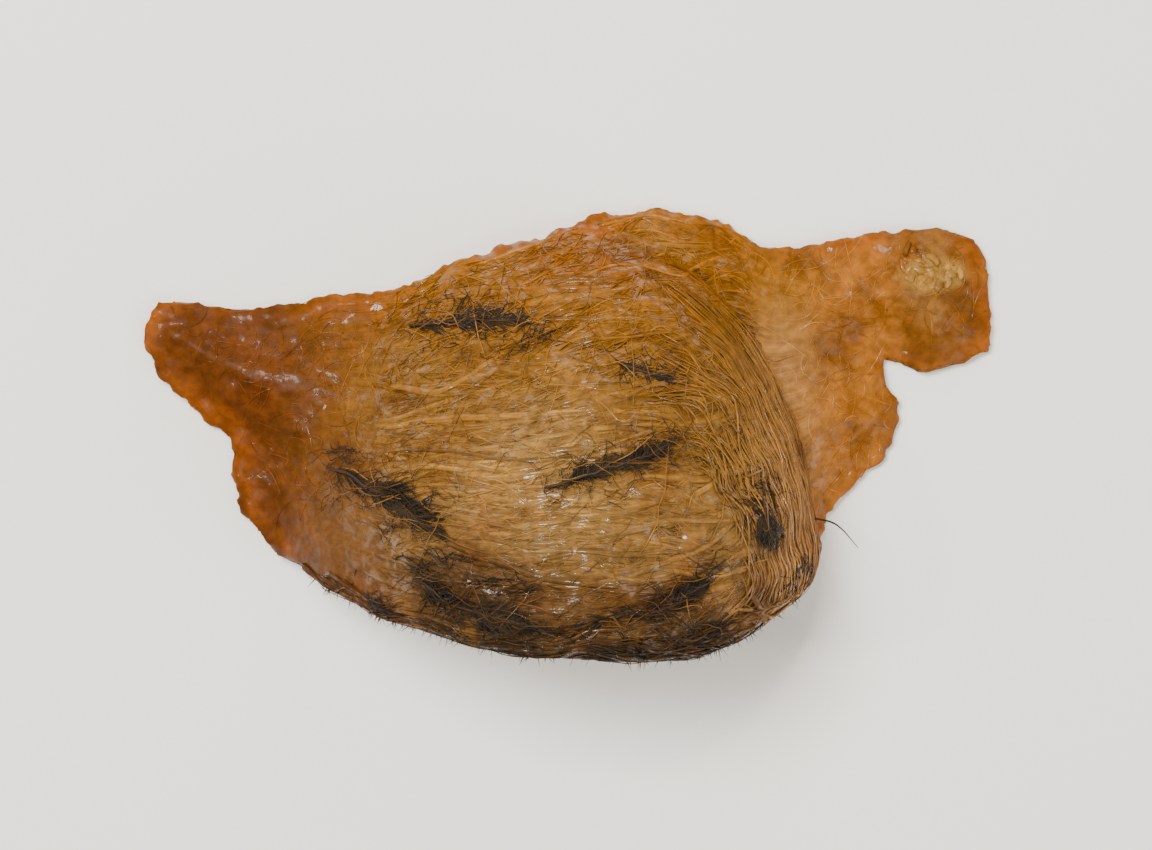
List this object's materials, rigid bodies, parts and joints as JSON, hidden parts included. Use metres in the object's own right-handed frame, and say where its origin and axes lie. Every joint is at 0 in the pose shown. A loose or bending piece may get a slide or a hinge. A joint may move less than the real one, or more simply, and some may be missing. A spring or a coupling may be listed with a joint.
{
  "type": "edible bird's nest",
  "caption": "Raw amber edible bird's nest: half cup of dried saliva strands with thin feet, a hollow lined with a coarse net and small dark feathers, lying on its flat wall cut.",
  "frame": {"origin": "middle of the wall cut, under the centre of the nest's bounding box", "axes": "+X from the left foot to the right foot, +Y from the lip of the cup to its base, +Z from the wall cut out to the dome of the cup"},
  "size_m": [0.0918, 0.0446, 0.0323],
  "materials": {
    "saliva": "dried saliva strands, satin gloss, amber, translucent at thin edges",
    "feather": "matte dark down and small contour feathers"
  },
  "bodies": {
    "root": {"nest_cup": "saliva", "feather_left": "feather", "feather_middle": "feather", "feather_lip_right": "feather", "feather_back_left": "feather", "feather_lip_left": "feather", "feather_right_flank": "feather", "feather_back_right": "feather", "feather_hollow_left": "feather", "feather_hollow_middle": "feather", "feather_hollow_right": "feather"}
  },
  "joints": []
}
